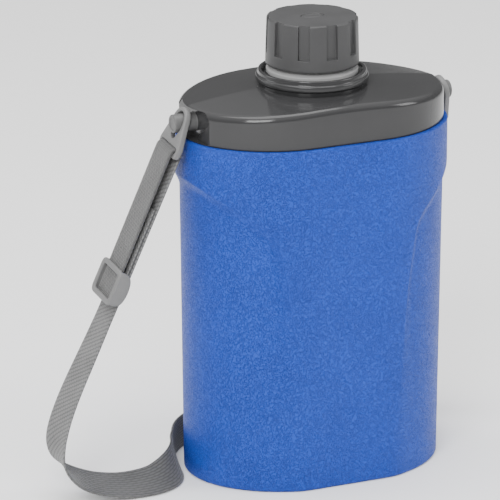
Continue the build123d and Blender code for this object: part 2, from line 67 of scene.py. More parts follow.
# arched recess
RECESS_FOOT_LESS = (6.0, 0.0)      # off the half length and half depth, at the foot
RECESS_HEAD_LESS = (2.6, 1.8)      # and at the top
ARCH = [(35.7, BASE_EDGE, 0), (46.0, 140.0, 400.0), (55.0, 193.0, 30.0), (102.0, 226.0, 0)]
BAND_AT_HEAD = 7.0                 # width of the sloped band under the arch
BAND_AT_FOOT = 22.0
BAND_NARROWS = (30.0, 130.0)       # the height it narrows from, and over how much height
BAND_CURVE = 1.35                  # 1 would be a straight slope

# shoulder cover
COVER_INSET = 2.8
COVER_BOTTOM = 254.4
COVER_HOLE_R = 36.0
COVER_CREST = 287.0
COVER_END = 278.5
COVER_FALL = 0.07                  # slope of the roof on both sides of the ridge
RIDGE_ROUND = 0.4
COVER_EDGE = 4.5
END_FLAT_X = 92.5
END_FLAT_HALF = 27.0
END_FLAT_TOP = 278.2
END_FLAT_BOTTOM = 255.7
END_FLAT_CORNER = 9.0

# neck and cap
CHANNEL_FLOOR = 290.0
COLLAR_TOP = 295.5
CAP_BOTTOM, CAP_TOP = 300.0, 334.0
CAP_BOTTOM_R, CAP_TOP_R = 33.7, 32.7
NOTCHES = 10
NOTCH_HALF = 4.0
NOTCH_FLOOR = 30.8                 # from the cap's axis
NOTCH_END_Z = 309.0
BADGE_HALF = (8.5, 5.5)
BADGE_FACE = CAP_TOP - 0.15
BADGE_WELL = CAP_TOP - 0.9
CAP_ROOF = 331.3                   # the inside of the cap's top
CAP_INNER_R = 30.4
CAP_EDGE = 1.4

# strap hardware
STUD_Z = 266.8
STUD_R = 6.7
STUD_END_X = 109.6
RING_X = 103.2
RING_THICK = 4.4
RING_BAR_DROP = 21.6
RING_BAR = 4.0
RING_HALF_WIDTH = 16.6
SLOT_GAP = 3.4
WEB_WIDTH = 25.0
WEB_THICK = 1.8
STRAND_OFFSET = 2.2
BAR_TURN_R = 4.0
CORE_TURN_R = 2.3
LEFT_LEAN, LEFT_SWING = 22.5, 5.0  # degrees, out from the jug and back about the stud
RIGHT_LEAN, RIGHT_SWING = 12.0, 45.0
STRAIGHT_ABOVE_SLIDER = 46
STRAIGHT_BELOW_SLIDER = 30
RIGHT_STRAIGHT = 52
TAIL_LENGTH = 62.0
SEWN_LENGTH = 38.0
SEWN_CLOSES = 26.0                 # the sewn end lies against the main run from here on
SLIDER_AT = 104.0
SLIDER_WIDTH = 35.0
SLIDER_LENGTH = 27.0
SLIDER_FACE = 8.2
SLIDER_UNDER = -3.4
SLIDER_CORNER = 5.0
SLIDER_RAIL = (SLIDER_WIDTH - WEB_WIDTH - 1.6) / 2
WINDOW_CORNER = 2.0
END_BAR = 4.0
FACE_BAR_THICK = 2.4
CORE_BAR_R = 1.3
CORE_SHIFT = 8.6                   # the middle bar sits this far below the slider's middle
PLATE_EDGE = 1.0                   # rounding of the rings' and the slider's edges
STITCH_PITCH = 2.6
STITCH_SIZE = (1.0, 0.36, 0.30)    # half length, half width and half height of a stitch
SEAM_BOX = (38.5, 10.0, 18.0)      # start along the sewn end, length and width


# ---- camera
CAMERA_AZIMUTH = radians(-24.839)
CAMERA_ELEVATION = radians(17.846)
CAMERA_AIM = Vector((-0.04887, 0, 0.16514))
CAMERA_DISTANCE = 3.3514
CAMERA_LENS = 335.97
CAMERA_SENSOR = 36.0


def add_camera():
    level = cos(CAMERA_ELEVATION)
    back = Vector((sin(CAMERA_AZIMUTH) * level, -cos(CAMERA_AZIMUTH) * level,
                   sin(CAMERA_ELEVATION)))
    camera = bpy.data.objects.new("camera", bpy.data.cameras.new("camera"))
    camera.data.lens = CAMERA_LENS
    camera.data.sensor_width = CAMERA_SENSOR
    camera.location = CAMERA_AIM + back * CAMERA_DISTANCE
    camera.rotation_euler = back.to_track_quat("Z", "Y").to_euler()
    bpy.context.collection.objects.link(camera)
    bpy.context.scene.camera = camera


add_camera()


# ---- node helpers
class Surface:
    """A material with a Principled shader, and short ways to add nodes to it."""

    def __init__(self, name, colour, roughness, **sockets):
        self.material = bpy.data.materials.new(name)
        self.material.use_nodes = True
        self.tree = self.material.node_tree
        self.shader = self.tree.nodes["Principled BSDF"]
        self.shader.inputs["Base Color"].default_value = (*colour, 1)
        self.shader.inputs["Roughness"].default_value = roughness
        for key, value in sockets.items():
            self.shader.inputs[key.replace("_", " ")].default_value = value

    def add(self, kind, inputs=None, **properties):
        made = self.tree.nodes.new("ShaderNode" + kind)
        for key, value in properties.items():
            setattr(made, key, value)
        for key, value in (inputs or {}).items():
            if isinstance(value, bpy.types.NodeSocket):
                self.tree.links.new(value, made.inputs[key])
            else:
                made.inputs[key].default_value = value
        return made

    def math(self, operation, first, second=0.0):
        return self.add("Math", {0: first, 1: second}, operation=operation).outputs[0]

    def place(self):
        return self.add("TexCoord").outputs["Object"]

    def noise(self, scale, detail=2.0, vector=None, rough=0.5, distortion=0.0):
        inputs = {"Vector": vector or self.place(), "Scale": scale, "Detail": detail,
                  "Roughness": rough, "Distortion": distortion}
        return self.add("TexNoise", inputs).outputs["Fac"]

    def ramp(self, value, low, high, start=0.0, end=1.0):
        """Spreads the value's range start..end over low..high."""
        inputs = {"Value": value, "From Min": start, "From Max": end, "To Min": low, "To Max": high}
        return self.add("MapRange", inputs).outputs["Result"]

    def tint(self, value, dark, light):
        """Base colour between dark and light."""
        mixed = self.add("Mix", {"Factor": value}, data_type="RGBA")
        ends = [s for s in mixed.inputs if s.type == "RGBA"]
        ends[0].default_value = (*dark, 1)
        ends[1].default_value = (*light, 1)
        output = next(s for s in mixed.outputs if s.type == "RGBA")
        self.tree.links.new(output, self.shader.inputs["Base Color"])

    def rough(self, value):
        self.tree.links.new(value, self.shader.inputs["Roughness"])

    def bump(self, height, depth_mm, strength=1.0):
        made = self.add("Bump", {"Height": height, "Distance": depth_mm * MM, "Strength": strength})
        self.tree.links.new(made.outputs["Normal"], self.shader.inputs["Normal"])


def scaled(colour, factor):
    return tuple(c * factor for c in colour)


# ---- materials
def body_plastic():
    """Blue polyethylene with a fine leather grain: pebbles with narrow creases between them, and
    painted shade that darkens the creases and lightens the pebbles.
    """
    blue = (0.008, 0.054, 0.40)
    s = Surface("body_blue", blue, 0.45, Specular_IOR_Level=0.26)
    worms = s.noise(540.0, 1.2, distortion=0.9)
    crease = s.math("ABSOLUTE", s.math("SUBTRACT", worms, 0.5))
    pebbles = s.ramp(crease, 0.0, 1.0, 0.0, 0.07)
    grain = s.noise(1050.0, 3.0)
    height = s.math("ADD", s.math("MULTIPLY", pebbles, 0.7), s.math("MULTIPLY", grain, 0.45))
    patches = s.noise(22.0, 2.0)
    # painted shade: the colour follows the grain's height, darker in its creases and lighter on its
    # tops
    painted_crease_shade = s.ramp(height, 0.0, 0.9, 0.15, 1.0)
    patch_tone = s.ramp(patches, -0.08, 0.16, 0.3, 0.7)
    s.tint(s.math("ADD", painted_crease_shade, patch_tone), scaled(blue, 0.60), scaled(blue, 1.10))
    s.rough(s.ramp(height, 0.62, 0.42, 0.2, 0.95))
    s.bump(height, 0.55, 1.0)
    return s.material


def gloss_plastic():
    """Smooth dark cover plastic: slow waviness of the moulding and faint rub marks."""
    s = Surface("cover_gloss", (0.032, 0.032, 0.033), 0.13, Specular_IOR_Level=0.33)
    marks = s.add("Mapping", {"Vector": s.place(), "Scale": (40.0, 420.0, 420.0),
                              "Rotation": (0, 0, 0.5)}).outputs[0]
    rubs = s.noise(3.0, 4.0, marks, 0.7)
    cloud = s.noise(30.0, 3.0)
    s.tint(cloud, (0.029, 0.029, 0.030), (0.036, 0.036, 0.037))
    s.rough(s.math("ADD", s.ramp(cloud, 0.10, 0.15, 0.3, 0.7), s.ramp(rubs, 0.0, 0.08, 0.55, 0.85)))
    s.bump(s.noise(40.0, 1.0), 0.03, 0.25)
    return s.material


def matte_plastic(name, colour, roughness, grain_scale=1300.0, depth=0.05):
    """Moulded plastic with a spark-eroded surface and slight colour drift."""
    s = Surface(name, colour, roughness, Specular_IOR_Level=0.32)
    grain = s.noise(grain_scale, 3.0)
    cloud = s.noise(45.0, 3.0)
    tone = s.math("ADD", s.math("MULTIPLY", grain, 0.35), s.math("MULTIPLY", cloud, 0.65))
    s.tint(s.ramp(tone, 0.0, 1.0, 0.3, 0.7), scaled(colour, 0.90), scaled(colour, 1.09))
    s.rough(s.ramp(cloud, roughness - 0.05, roughness + 0.07, 0.3, 0.7))
    s.bump(grain, depth, 0.6)
    return s.material


def foam_plastic():
    """Poured foam with small open cells."""
    s = Surface("poured_foam", (0.72, 0.62, 0.38), 0.85)
    cells = s.add("TexVoronoi", {"Vector": s.place(), "Scale": 700.0}).outputs["Distance"]
    s.tint(cells, (0.78, 0.69, 0.45), (0.60, 0.50, 0.28))
    s.bump(cells, 0.3)
    return s.material


def webbing(name, yarn, stitch, step, waist, grey):
    """Woven webbing. Each warp yarn shows as a row of bulges, shifted by step from yarn to yarn,
    with painted shade that darkens the dips between them and lightens their crowns.

    yarn and stitch are a bulge's width and length in mm. waist is how far a yarn dips between
    two bulges.
    """
    colour = (grey, grey, grey)
    s = Surface(name, colour, 0.78, Specular_IOR_Level=0.3, Sheen_Weight=0.25, Sheen_Roughness=0.4)
    lay = s.add("Attribute", attribute_name="weave").outputs["Vector"]
    parts = s.add("SeparateXYZ", {0: lay})
    along, across = parts.outputs[0], parts.outputs[1]
    fuzz = s.noise(900.0, 3.0)
    row = s.math("DIVIDE", across, yarn)
    shift = s.math("MULTIPLY", s.math("FLOOR", row), step)
    drift = s.math("MULTIPLY", fuzz, 0.18)
    shifted = s.math("ADD", s.math("ADD", s.math("DIVIDE", along, stitch), shift), drift)
    wave = s.math("SINE", s.math("MULTIPLY", s.math("FRACT", shifted), pi))
    bulge = s.ramp(s.math("POWER", wave, 0.6), 1.0 - waist, 1.0)
    crown = s.math("SINE", s.math("MULTIPLY", s.math("FRACT", row), pi))
    yarns = s.math("MULTIPLY", bulge, s.math("POWER", crown, 0.7))
    fibres = s.add("Mapping", {"Vector": lay, "Scale": (0.8, 9.0, 1.0)}).outputs[0]
    strands = s.noise(1.0, 3.0, fibres, 0.7)
    height = s.math("ADD", yarns, s.math("MULTIPLY", strands, 0.3))
    # painted shade: the colour follows the weave's height, darker in the dips between yarns and
    # bulges and lighter on their crowns
    painted_weave_shade = s.ramp(height, 0.0, 0.9, 0.1, 1.1)
    patch_tone = s.ramp(s.noise(60.0, 2.0), -0.1, 0.1, 0.3, 0.7)
    s.tint(s.math("ADD", painted_weave_shade, patch_tone), scaled(colour, 0.33), scaled(colour, 1.38))
    s.bump(height, 0.32, 0.9)
    return s.material


BLUE = body_plastic()
GLOSS = gloss_plastic()
CAP_GREY = matte_plastic("cap_grey", (0.047, 0.047, 0.048), 0.45)
MID_GREY = matte_plastic("hardware_grey", (0.15, 0.15, 0.15), 0.42, 1100.0, 0.04)
STUD_GREY = matte_plastic("stud_grey", (0.095, 0.095, 0.095), 0.40, 1100.0, 0.04)
BAND_GREY = matte_plastic("band_grey", (0.30, 0.30, 0.30), 0.45)
LINER_WHITE = matte_plastic("liner_white", (0.72, 0.72, 0.69), 0.4)
SEAL_BLACK = matte_plastic("seal_black", (0.03, 0.03, 0.03), 0.7)
THREAD_GREY = matte_plastic("stitch_grey", (0.24, 0.24, 0.24), 0.8)
FOAM = foam_plastic()
WEB_OUTER = webbing("webbing_twill", 1.65, 3.5, 0.28, 0.95, 0.142)
WEB_INNER = webbing("webbing_rows", 2.1, 6.5, 0.5, 0.4, 0.08)


# ---- mesh helpers
SQUARE = ((-1, -1), (1, -1), (1, 1), (-1, 1))


def smooth(value):
    """Eased step from 0 to 1."""
    value = min(max(value, 0.0), 1.0)
    return value * value * (3 - 2 * value)


def link(name, mesh, materials):
    made = bpy.data.objects.new(name, mesh)
    bpy.context.collection.objects.link(made)
    for surface in materials:
        mesh.materials.append(surface)
    return made


def clean(mesh, merge=0.0, dissolve=0.0, bridge=False):
    """Smooth shading and outward faces. merge and dissolve are the sizes in mm of what they remove.

    bridge joins the two open edges that are left.
    """
    bm = bmesh.new()
    bm.from_mesh(mesh)
    if merge:
        bmesh.ops.remove_doubles(bm, verts=bm.verts, dist=merge * MM)
    if dissolve:
        bmesh.ops.dissolve_degenerate(bm, edges=bm.edges, dist=dissolve * MM)
    if bridge:
        bmesh.ops.bridge_loops(bm, edges=[e for e in bm.edges if e.is_boundary])
    bmesh.ops.recalc_face_normals(bm, faces=bm.faces)
    bm.to_mesh(mesh)
    bm.free()
    mesh.shade_smooth()


def mesh_piece(name, points, faces, material, merge=False, bridge=False):
    """A smooth-shaded piece from points in mm."""
    mesh = bpy.data.meshes.new(name)
    mesh.from_pydata([Vector(p) * MM for p in points], [], faces)
    if merge:
        clean(mesh, 0.02, 0.002, bridge)
    else:
        clean(mesh, bridge=bridge)
    return link(name, mesh, [material])


def grid(rows, around=False):
    """Points and faces of rows of equal length, joined in order."""
    width = len(rows[0])
    points = [p for row in rows for p in row]
    faces = []
    for r in range(len(rows) - 1):
        for c in range(width if around else width - 1):
            d = (c + 1) % width
            faces.append((r * width + c, r * width + d, (r + 1) * width + d, (r + 1) * width + c))
    return points, faces


def end_faces(size, total):
    """Faces that close a tube of total points at both ends, where each row has size points."""
    return [tuple(reversed(range(size))), tuple(range(total - size, total))]


def rounded(corners, closed=True, steps=4):
    """Outline through (x, y, radius) corners, with an arc of that radius at each."""
    outline = []
    for k, (x, y, radius) in enumerate(corners):
        here = Vector((x, y))
        if radius == 0 or (not closed and k in (0, len(corners) - 1)):
            outline.append(here)
            continue
        before = Vector(corners[k - 1][:2]) - here
        after = Vector(corners[(k + 1) % len(corners)][:2]) - here
        half = before.angle(after) / 2
        reach = min(radius / tan(half), 0.49 * before.length, 0.49 * after.length)
        middle = (before.normalized() + after.normalized()).normalized()
        centre = here + middle * (reach / cos(half))
        first = here + before.normalized() * reach - centre
        last = here + after.normalized() * reach - centre
        turn = first.angle(last)
        for i in range(steps + 1):
            part = turn * i / steps
            outline.append(centre + (first * sin(turn - part) + last * sin(part)) / sin(turn))
    return outline


def evenly(outline, count):
    """count + 1 points evenly spaced along an open outline."""
    lengths = [0.0]
    for a, b in zip(outline, outline[1:]):
        lengths.append(lengths[-1] + (b - a).length)
    spaced = []
    k = 0
    for i in range(count + 1):
        want = lengths[-1] * i / count
        while k < len(outline) - 2 and lengths[k + 1] < want:
            k += 1
        part = (want - lengths[k]) / (lengths[k + 1] - lengths[k])
        spaced.append(outline[k].lerp(outline[k + 1], part))
    return spaced


def lathe(name, profile, material, segments=144):
    """Closed (radius, height) outline turned about Z."""
    rows = []
    for radius, height in profile + profile[:1]:
        angles = [2 * pi * k / segments for k in range(segments)]
        rows.append([(radius * cos(a), radius * sin(a), height) for a in angles])
    points, faces = grid(rows, around=True)
    return mesh_piece(name, points, faces, material, merge=True)


def frame_matrix(origin, x_axis, y_axis):
    """Placement of a piece modelled in metres in its own plane."""
    z_axis = x_axis.cross(y_axis)
    turn = Matrix((x_axis, y_axis, z_axis)).transposed().to_4x4()
    return Matrix.Translation(origin * MM) @ turn


def plate(name, outlines, thick, edge, material, placement):
    """A flat piece with rounded edges, from an outline and the outlines of its holes, in mm."""
    curve = bpy.data.curves.new(name, "CURVE")
    curve.dimensions = "2D"
    curve.fill_mode = "BOTH"
    curve.extrude = (thick / 2 - edge) * MM
    curve.bevel_depth = edge * MM
    curve.bevel_resolution = 3
    curve.offset = -edge * MM
    for outline in outlines:
        spline = curve.splines.new("POLY")
        spline.points.add(len(outline) - 1)
        for point, (x, y) in zip(spline.points, outline):
            point.co = (x * MM, y * MM, 0, 1)
        spline.use_cyclic_u = True
    source = bpy.data.objects.new(name + "_outline", curve)
    mesh = bpy.data.meshes.new_from_object(source)
    bpy.data.objects.remove(source)
    mesh.transform(placement)
    clean(mesh, merge=0.01)
    mesh.set_sharp_from_angle(angle=radians(50))
    mesh.materials.clear()
    return link(name, mesh, [material])


# ---- strap
def ring_frame(side, lean, swing):
    """Origin on the stud's axis, the bar's direction and the way the ring hangs."""
    lean, swing = radians(lean), radians(swing)
    bar = Vector((side * sin(swing) * sin(lean), -cos(swing), -sin(swing) * cos(lean)))
    down = Vector((side * cos(swing) * sin(lean), sin(swing), -cos(swing) * cos(lean)))
    return Vector((side * RING_X, 0, STUD_Z)), bar, down


LEFT_ORIGIN, LEFT_BAR, LEFT_DOWN = ring_frame(-1, LEFT_LEAN, LEFT_SWING)
RIGHT_ORIGIN, RIGHT_BAR, RIGHT_DOWN = ring_frame(1, RIGHT_LEAN, RIGHT_SWING)
LEFT_OUT = LEFT_DOWN.cross(LEFT_BAR)
RIGHT_OUT = RIGHT_BAR.cross(RIGHT_DOWN)
LEFT_BAR_AT = LEFT_ORIGIN + LEFT_DOWN * RING_BAR_DROP
RIGHT_BAR_AT = RIGHT_ORIGIN + RIGHT_DOWN * RING_BAR_DROP
SLIDER_CENTRE = LEFT_BAR_AT + LEFT_DOWN * SLIDER_AT + LEFT_OUT * (STRAND_OFFSET - BAR_TURN_R)

# the loose part of the strap's route, in metres, with the way the webbing's width points: round in
# front of the left end, along the floor behind the jug and up behind the right end
LOOSE_RUN = [
    ((-0.199, 0.003, 0.056), (0.1, -0.98, -0.16)),
    ((-0.204, -0.006, 0.031), (0.1, -0.95, -0.28)),
    ((-0.187, -0.013, 0.0135), (0, -0.92, -0.4)),
    ((-0.157, -0.018, 0.0072), (0, -0.9, -0.44)),
    ((-0.127, -0.018, 0.0082), (0.25, -0.78, -0.57)),
    ((-0.1055, 0, 0.0123), (0.35, -0.25, -0.9)),
    ((-0.0995, 0.030, 0.0129), (0, 0, -1)),
    ((-0.078, 0.060, 0.0129), (0, 0, -1)),
    ((-0.038, 0.078, 0.0129), (0, 0, -1)),
    ((0.020, 0.082, 0.0129), (0, -0.3, -0.95)),
    ((0.066, 0.085, 0.018), (0, -0.75, -0.66)),
    ((0.096, 0.078, 0.042), (0, -1, 0)),
    ((0.110, 0.068, 0.088), (0.05, -0.9, -0.43)),
    ((0.114, 0.061, 0.150), RIGHT_BAR)]
ROUTE = [
    (LEFT_BAR_AT - LEFT_OUT * BAR_TURN_R) * MM,
    (SLIDER_CENTRE - LEFT_DOWN * STRAIGHT_ABOVE_SLIDER - LEFT_OUT * STRAND_OFFSET) * MM,
    (SLIDER_CENTRE + LEFT_DOWN * STRAIGHT_BELOW_SLIDER - LEFT_OUT * STRAND_OFFSET) * MM,
    *(Vector(place) for place, _ in LOOSE_RUN),
    (RIGHT_BAR_AT + RIGHT_DOWN * RIGHT_STRAIGHT - RIGHT_OUT * BAR_TURN_R) * MM,
    (RIGHT_BAR_AT - RIGHT_OUT * BAR_TURN_R) * MM]
FACING = [LEFT_BAR] * 3 + [Vector(facing) for _, facing in LOOSE_RUN] + [RIGHT_BAR] * 2


def strap_line():
    """Points of the smooth line through the route, in metres."""
    curve = bpy.data.curves.new("strap_line", "CURVE")
    curve.dimensions = "3D"
    curve.resolution_u = 14
    spline = curve.splines.new("NURBS")
    spline.points.add(len(ROUTE) - 1)
    for point, place in zip(spline.points, ROUTE):
        point.co = (*place, 1)
    spline.order_u = 3
    spline.use_endpoint_u = True
    source = bpy.data.objects.new("strap_line", curve)
    mesh = bpy.data.meshes.new_from_object(source)
    bpy.data.objects.remove(source)
    return [v.co.copy() for v in mesh.vertices]


def route_facings(line):
    """Width direction at each point of the line, from the facings of the route's points."""
    runs = [(b - a).length for a, b in zip(ROUTE, ROUTE[1:])]
    marks = [sum(runs[:k]) / sum(runs) for k in range(len(ROUTE))]
    steps = [(b - a).length for a, b in zip(line, line[1:])]
    facings = []
    travelled = 0.0
    k = 0
    for step in steps + [0.0]:
        here = travelled / sum(steps)
        while k < len(marks) - 2 and marks[k + 1] < here:
            k += 1
        facings.append(FACING[k].lerp(FACING[k + 1], (here - marks[k]) / (marks[k + 1] - marks[k])))
        travelled += step
    return facings


def web_section():
    """Half outline of the webbing's cross-section, (across, up) in mm, with rolled edges."""
    half, up = WEB_WIDTH / 2, WEB_THICK / 2
    roll, dip = 0.7, 0.12
    edge = [(half - roll + roll * sin(a), up - roll + roll * cos(a))
            for a in (pi / 2, pi / 3, pi / 6, 0)]
    flat = [(half * k / 5, up - dip * (1 - (k / 5) ** 2)) for k in (4, 2.5, 1)]
    right = edge + flat
    return right + [(-x, y) for x, y in reversed(right)]


def ribbon(name, line, facings, upper, lower):
    """Webbing along a line in mm. upper is the material on the side of facing x tangent.

    The attribute "weave" holds each point's place along and across the strip, for the weave.
    """
    top = web_section()
    section = top + [(-x, -y) for x, y in top]
    rows, lays = [], []
    along = 0.0
    for k, place in enumerate(line):
        before, after = line[max(k - 1, 0)], line[min(k + 1, len(line) - 1)]
        tangent = (after - before).normalized()
        wide = facings[k] - tangent * facings[k].dot(tangent)
        wide.normalize()
        up = wide.cross(tangent)
        rows.append([place + wide * x + up * y for x, y in section])
        lays += [(along, x + WEB_WIDTH, 0.0) for x, _ in section]
        along += (after - place).length
    points, faces = grid(rows, around=True)
    size = len(section)
    faces += end_faces(size, len(points))
    mesh = bpy.data.meshes.new(name)
    mesh.from_pydata([p * MM for p in points], [], faces)
    layer = mesh.attributes.new("weave", "FLOAT_VECTOR", "POINT")
    layer.data.foreach_set("vector", [value for lay in lays for value in lay])
    for index, face in enumerate(mesh.polygons):
        face.material_index = 0 if index % size < len(top) else 1
    mesh.shade_smooth()
    made = link(name, mesh, [upper, lower])
    made.data.validate()
    return made


def bend(centre, toward, up, radius, steps=14):
    """Half circle round a bar, from the side at -toward over the side at up."""
    angles = [pi * k / steps for k in range(steps + 1)]
    return [centre - toward * (radius * cos(a)) + up * (radius * sin(a)) for a in angles]


def between(start, end, gap=3.0):
    """Points about gap apart on the way from start to end, without start itself."""
    count = max(2, ceil((end - start).length / gap))
    return [start.lerp(end, k / count) for k in range(1, count + 1)]


def strip_place(line, distance):
    """The point this far along a line, and the line's direction there."""
    for a, b in zip(line, line[1:]):
        step = (b - a).length
        if distance <= step:
            return a.lerp(b, distance / step), (b - a).normalized()
        distance -= step
    return line[-1], (line[-1] - line[-2]).normalized()


def seam_box(line, wide, out):
    """Stitch places round a box and along its diagonals, on the webbing that follows a line."""
    start, length, width = SEAM_BOX
    sunk = 0.03
    ends = [Vector((start, -width / 2)), Vector((start + length, -width / 2)),
            Vector((start + length, width / 2)), Vector((start, width / 2))]
    spots = []
    for a, b in list(zip(ends, ends[1:] + ends[:1])) + [(ends[0], ends[2]), (ends[1], ends[3])]:
        count = round((b - a).length / STITCH_PITCH)
        turn = (b - a).normalized()
        for k in range(count):
            at = a.lerp(b, (k + 0.5) / count)
            place, tangent = strip_place(line, at.x)
            spots.append((place + wide * at.y + out * (WEB_THICK / 2 - sunk),
                          (tangent * turn.x + wide * turn.y).normalized()))
    return spots


def stitches(name, spots, out):
    """Short thread stitches, each a stretched bead that lies along the seam."""
    bm = bmesh.new()
    size = Matrix.Diagonal((*(half * MM for half in STITCH_SIZE), 1))
    for spot, direction in spots:
        turn = Matrix((direction, out.cross(direction), out)).transposed().to_4x4()
        bmesh.ops.create_uvsphere(bm, u_segments=10, v_segments=6, radius=1.0,
                                  matrix=Matrix.Translation(spot * MM) @ turn @ size)
    mesh = bpy.data.meshes.new(name)
    bm.to_mesh(mesh)
    bm.free()
    mesh.shade_smooth()
    return link(name, mesh, [THREAD_GREY])


def build_strap():
    """The main run, the return loop, the tail, the sewn end, its seam and the main run's line."""
    line = strap_line()
    in_mm = [p / MM for p in line]
    facings = route_facings(line)
    main = ribbon("strap_main", in_mm, facings, WEB_INNER, WEB_OUTER)
    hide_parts("strap_webbing")

    core_at = SLIDER_CENTRE + LEFT_DOWN * CORE_SHIFT
    outer = core_at + LEFT_OUT * (2 * CORE_TURN_R)
    loop = bend(LEFT_BAR_AT, LEFT_OUT, -LEFT_DOWN, BAR_TURN_R)
    loop += between(LEFT_BAR_AT + LEFT_OUT * BAR_TURN_R, outer)
    back = ribbon("strap_return_loop", loop, [LEFT_BAR] * len(loop), WEB_OUTER, WEB_INNER)
    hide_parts("strap_return")

    core = core_at + LEFT_OUT * CORE_TURN_R
    turn = bend(core, -LEFT_OUT, LEFT_DOWN, CORE_TURN_R)
    turn += between(core_at, SLIDER_CENTRE - LEFT_DOWN * (TAIL_LENGTH - 0.2))
    tail = ribbon("strap_loose_tail", turn, [LEFT_BAR] * len(turn), WEB_OUTER, WEB_INNER)
    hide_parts("strap_tail")
    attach(tail, "slider")

    sewn_line = bend(RIGHT_BAR_AT, RIGHT_OUT, -RIGHT_DOWN, BAR_TURN_R)
    travelled = 0.0
    for a, b in zip(reversed(in_mm), list(reversed(in_mm))[1:]):
        travelled += (b - a).length
        if travelled > SEWN_LENGTH:
            break
        near = smooth(travelled / SEWN_CLOSES)
        sewn_line.append(b + RIGHT_OUT * (2 * BAR_TURN_R * (1 - near) + (WEB_THICK + 0.05) * near))
    sewn = ribbon("strap_sewn_fold", sewn_line, [RIGHT_BAR] * len(sewn_line), WEB_OUTER, WEB_INNER)
    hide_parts("strap_sewn_end")
    seam = stitches("strap_seam", seam_box(sewn_line, RIGHT_BAR, RIGHT_OUT), RIGHT_OUT)
    return main, back, tail, sewn, seam, line


def slider_rail(side, here):
    """Deep side rail: flat along the face, bowed underneath and drawn in at both ends."""
    half_l = SLIDER_LENGTH / 2
    inner, outer = SLIDER_WIDTH / 2 - SLIDER_RAIL + 0.15, SLIDER_WIDTH / 2 - 0.1
    middle, half_w = (inner + outer) / 2, (outer - inner) / 2
    face_under = SLIDER_FACE - FACE_BAR_THICK
    steps = 28
    rows = []
    for k in range(steps + 1):
        turn = pi * k / steps
        y = -(half_l - 0.9) * cos(turn)
        bulge = sin(turn) ** 0.55
        low = face_under + 0.4 - (face_under - SLIDER_UNDER + 0.3) * bulge
        high = SLIDER_FACE - 0.9 + 0.7 * bulge
        wide = half_w * (0.45 + 0.55 * min(1.0, 1.6 * sin(turn) ** 0.7))
        x = side * (middle - (half_w - wide))
        outline = rounded([(x - wide, low, 0.9), (x + wide, low, 0.9),
                           (x + wide, high, 0.8), (x - wide, high, 0.8)])
        rows.append([(px, y, z) for px, z in outline])
    points, faces = grid(rows, around=True)
    faces += end_faces(len(rows[0]), len(points))
    rail = mesh_piece("slider_rail", points, faces, MID_GREY)
    rail.data.transform(here)
    return rail


def box_outline(half_w, half_l, radius):
    """Outline of a rectangle with rounded corners."""
    return rounded([(x * half_w, y * half_l, radius) for x, y in SQUARE])


def build_slider():
    """Adjuster frame: rounded face with a window, deep rails and a low middle bar."""
    half_w, half_l = SLIDER_WIDTH / 2, SLIDER_LENGTH / 2
    here = frame_matrix(SLIDER_CENTRE, LEFT_BAR, -LEFT_DOWN)
    outlines = [box_outline(half_w, half_l, SLIDER_CORNER),
                box_outline(half_w - SLIDER_RAIL, half_l - END_BAR, WINDOW_CORNER)]
    lift = Matrix.Translation((0, 0, (SLIDER_FACE - FACE_BAR_THICK / 2) * MM))
    face = plate("slider_frame", outlines, FACE_BAR_THICK, PLATE_EDGE, MID_GREY, here @ lift)
    pieces = [face, slider_rail(-1, here), slider_rail(1, here)]
    steps, sides = 16, 20
    angles = [2 * pi * i / sides for i in range(sides)]
    bar = []
    for k in range(steps + 1):
        x = (2 * k / steps - 1) * (half_w - SLIDER_RAIL + 0.5)
        bar.append([(x, CORE_BAR_R * cos(a) - CORE_SHIFT, CORE_TURN_R + CORE_BAR_R * sin(a))
                    for a in angles])
    points, faces = grid(bar, around=True)
    faces += end_faces(sides, len(points))
    rod = mesh_piece("slider_bar", points, faces, MID_GREY)
    rod.data.transform(here)
    pieces.append(rod)
    return pieces


def ring_outlines():
    """Outline of a strap ring, its keyhole eye and its webbing slot, in the ring's plane."""
    foot = RING_BAR_DROP + RING_BAR / 2
    crown_at, crown_r, crown_steps = 1.22, 10.28, 28
    shoulder_x, shoulder_y = 10.2, 2.5
    start = asin((shoulder_y - crown_at) / crown_r)
    angles = [start + (pi - 2 * start) * k / crown_steps for k in range(crown_steps + 1)]
    crown = [Vector((crown_r * cos(a), crown_at + crown_r * sin(a))) for a in angles]
    wide, drawn_in, hip = RING_HALF_WIDTH, 1.6, 7.5
    skirt = rounded([(-shoulder_x, shoulder_y, 0), (-wide, hip - foot, 3),
                     (drawn_in - wide, -foot, 2), (wide - drawn_in, -foot, 2),
                     (wide, hip - foot, 3), (shoulder_x, shoulder_y, 0)], closed=False)
    # the keyhole: a wide upper circle that narrows to a small lower one
    eye_r, rise, small_r, drop = 7.0, 1.3, 4.6, 7.2
    lean = asin((eye_r - small_r) / (drop - rise))
    eye = []
    for centre, radius, first, last in ((rise, eye_r, 0, pi), (-rise, eye_r, pi, pi + lean),
                                        (-drop, small_r, pi + lean, 2 * pi - lean),
                                        (-rise, eye_r, 2 * pi - lean, 2 * pi)):
        steps = max(3, round((last - first) * 9))
        angles = [first + (last - first) * k / steps for k in range(steps + 1)]
        eye += [Vector((radius * cos(a), centre + radius * sin(a))) for a in angles]
    slot_y = RING_BAR / 2 + SLOT_GAP / 2 - RING_BAR_DROP
    half, high = WEB_WIDTH / 2 + 0.6, SLOT_GAP / 2
    slot = rounded([(-half, slot_y - high, 1.2), (half, slot_y - high, 1.2),
                    (half, slot_y + high, 1.2), (-half, slot_y + high, 1.2)])
    return [crown + skirt[1:-1], eye, slot]


def build_ring(name, origin, bar, down, node):
    here = frame_matrix(origin, bar, -down)
    ring = plate(name, ring_outlines(), RING_THICK, PLATE_EDGE, MID_GREY, here)
    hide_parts(node)
    return ring


